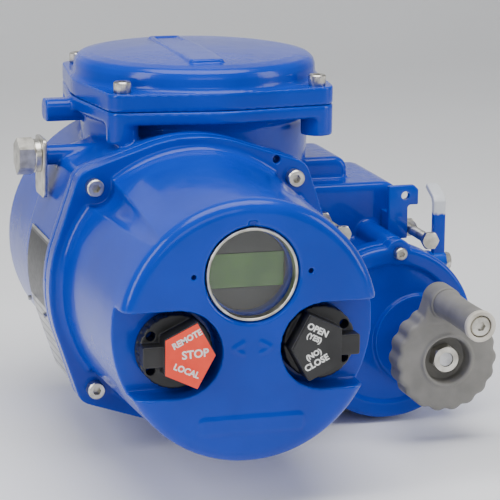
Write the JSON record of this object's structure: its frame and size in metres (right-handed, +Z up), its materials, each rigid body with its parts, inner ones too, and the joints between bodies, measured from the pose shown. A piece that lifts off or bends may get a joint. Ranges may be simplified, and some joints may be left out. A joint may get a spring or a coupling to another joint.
{
  "type": "motorized valve actuator",
  "caption": "Quarter-turn electric valve actuator: round control cover with window and two knobs, domed terminal cover, worm gear case with handwheel, hand lever and valve-mounting base.",
  "frame": {"origin": "centre of the valve-mounting face at the bottom, on the output axis", "axes": "+Z up along the output axis, -Y towards the control cover, +X towards the gear cover side"},
  "size_m": [0.3445, 0.3815, 0.282],
  "materials": {
    "blue_paint": "glossy blue paint on a casting",
    "zinc_steel": "zinc-plated steel",
    "machined_steel": "machined steel",
    "bronze": "cast bronze",
    "motor_casing": "satin",
    "black_plastic": "moulded, satin",
    "grey_plastic": "moulded, fine grain",
    "red_plastic": "printed plate",
    "cream_plastic": "moulded",
    "black_rubber": "matt",
    "window_glass": "clear",
    "display_green": "green display",
    "circuit_board": "coated board",
    "nameplate_metal": "printed plate"
  },
  "bodies": {
    "housing": {"main_housing": "blue_paint", "control_cover": "blue_paint", "terminal_cover": "blue_paint", "gear_cover": "blue_paint", "padlock_tab": "blue_paint", "window_ring": "zinc_steel", "conduit_plug_1": "zinc_steel", "conduit_plug_2": "zinc_steel", "lever_pivot_bolt": "zinc_steel", "stop_bolt_1": "zinc_steel", "stop_bolt_2": "zinc_steel", "earth_plate": "zinc_steel", "earth_bolt": "zinc_steel", "control_cover_screw_1": "zinc_steel", "control_cover_screw_2": "zinc_steel", "control_cover_screw_3": "zinc_steel", "control_cover_screw_4": "zinc_steel", "terminal_cover_screw_1": "zinc_steel", "terminal_cover_screw_2": "zinc_steel", "terminal_cover_screw_3": "zinc_steel", "terminal_cover_screw_4": "zinc_steel", "gear_cover_screw_1": "zinc_steel", "gear_cover_screw_2": "zinc_steel", "gear_cover_screw_3": "zinc_steel", "base_screw_1": "zinc_steel", "base_screw_2": "zinc_steel", "base_screw_3": "zinc_steel", "base_screw_4": "zinc_steel", "base_flange": "machined_steel", "worm_front_bearing": "machined_steel", "worm_rear_bearing": "machined_steel", "output_bearing": "machined_steel", "motor_body": "motor_casing", "terminal_block": "black_plastic", "output_seal": "black_rubber", "shaft_seal": "black_rubber", "control_cover_seal": "black_rubber", "terminal_cover_seal": "black_rubber", "window_glass": "window_glass", "display_module": "display_green", "control_board": "circuit_board", "power_board": "circuit_board", "nameplate": "nameplate_metal"},
    "output": {"worm_wheel": "bronze", "drive_bush": "machined_steel"},
    "hand_drive": {"worm_shaft": "machined_steel", "worm_spur_gear": "machined_steel", "handwheel": "grey_plastic", "handwheel_nut": "zinc_steel", "spinner_bolt": "zinc_steel"},
    "spinner": {"spinner_grip": "grey_plastic", "spinner_washer": "cream_plastic"},
    "rotor": {"motor_rotor": "machined_steel"},
    "mode_selector": {"mode_knob": "black_plastic", "mode_knob_plate": "red_plastic", "mode_spindle": "machined_steel"},
    "command_selector": {"command_knob": "black_plastic", "command_knob_plate": "black_plastic", "command_spindle": "machined_steel"},
    "lever": {"hand_lever": "blue_paint"}
  },
  "joints": [
    {"name": "output_turn", "type": "hinge", "parent": "housing", "child": "output", "pos_m": [0, 0, 0], "axis": [0, 0, 1], "range_deg": [0, 90]},
    {"name": "worm_turn", "type": "hinge", "parent": "housing", "child": "hand_drive", "pos_m": [0.068, 0, 0.064], "axis": [0, -1, 0], "range_deg": [0, 3420]},
    {"name": "rotor_turn", "type": "hinge", "parent": "housing", "child": "rotor", "pos_m": [0.04828, -0.079, 0.10108], "axis": [0, -1, 0], "range_deg": [-8550, 0]},
    {"name": "spinner_turn", "type": "hinge", "parent": "hand_drive", "child": "spinner", "pos_m": [0.0649, -0.16, 0.10839], "axis": [0, -1, 0], "continuous": true},
    {"name": "mode_knob_turn", "type": "hinge", "parent": "housing", "child": "mode_selector", "pos_m": [-0.1678, -0.272, 0.114], "axis": [0, -1, 0], "range_deg": [-30, 30]},
    {"name": "command_knob_turn", "type": "hinge", "parent": "housing", "child": "command_selector", "pos_m": [-0.0662, -0.272, 0.114], "axis": [0, -1, 0], "range_deg": [-30, 30], "stiffness_Nm_per_rad": 0.05},
    {"name": "hand_lever_tilt", "type": "hinge", "parent": "housing", "child": "lever", "pos_m": [0.0985, -0.05, 0.114], "axis": [1, 0, 0], "range_deg": [0, 35], "stiffness_Nm_per_rad": 0.3, "springref_deg": -11.46}
  ],
  "couplings": [
    {"joint": "worm_turn", "follows": "output_turn", "ratio": 38},
    {"joint": "rotor_turn", "follows": "output_turn", "ratio": -95}
  ]
}
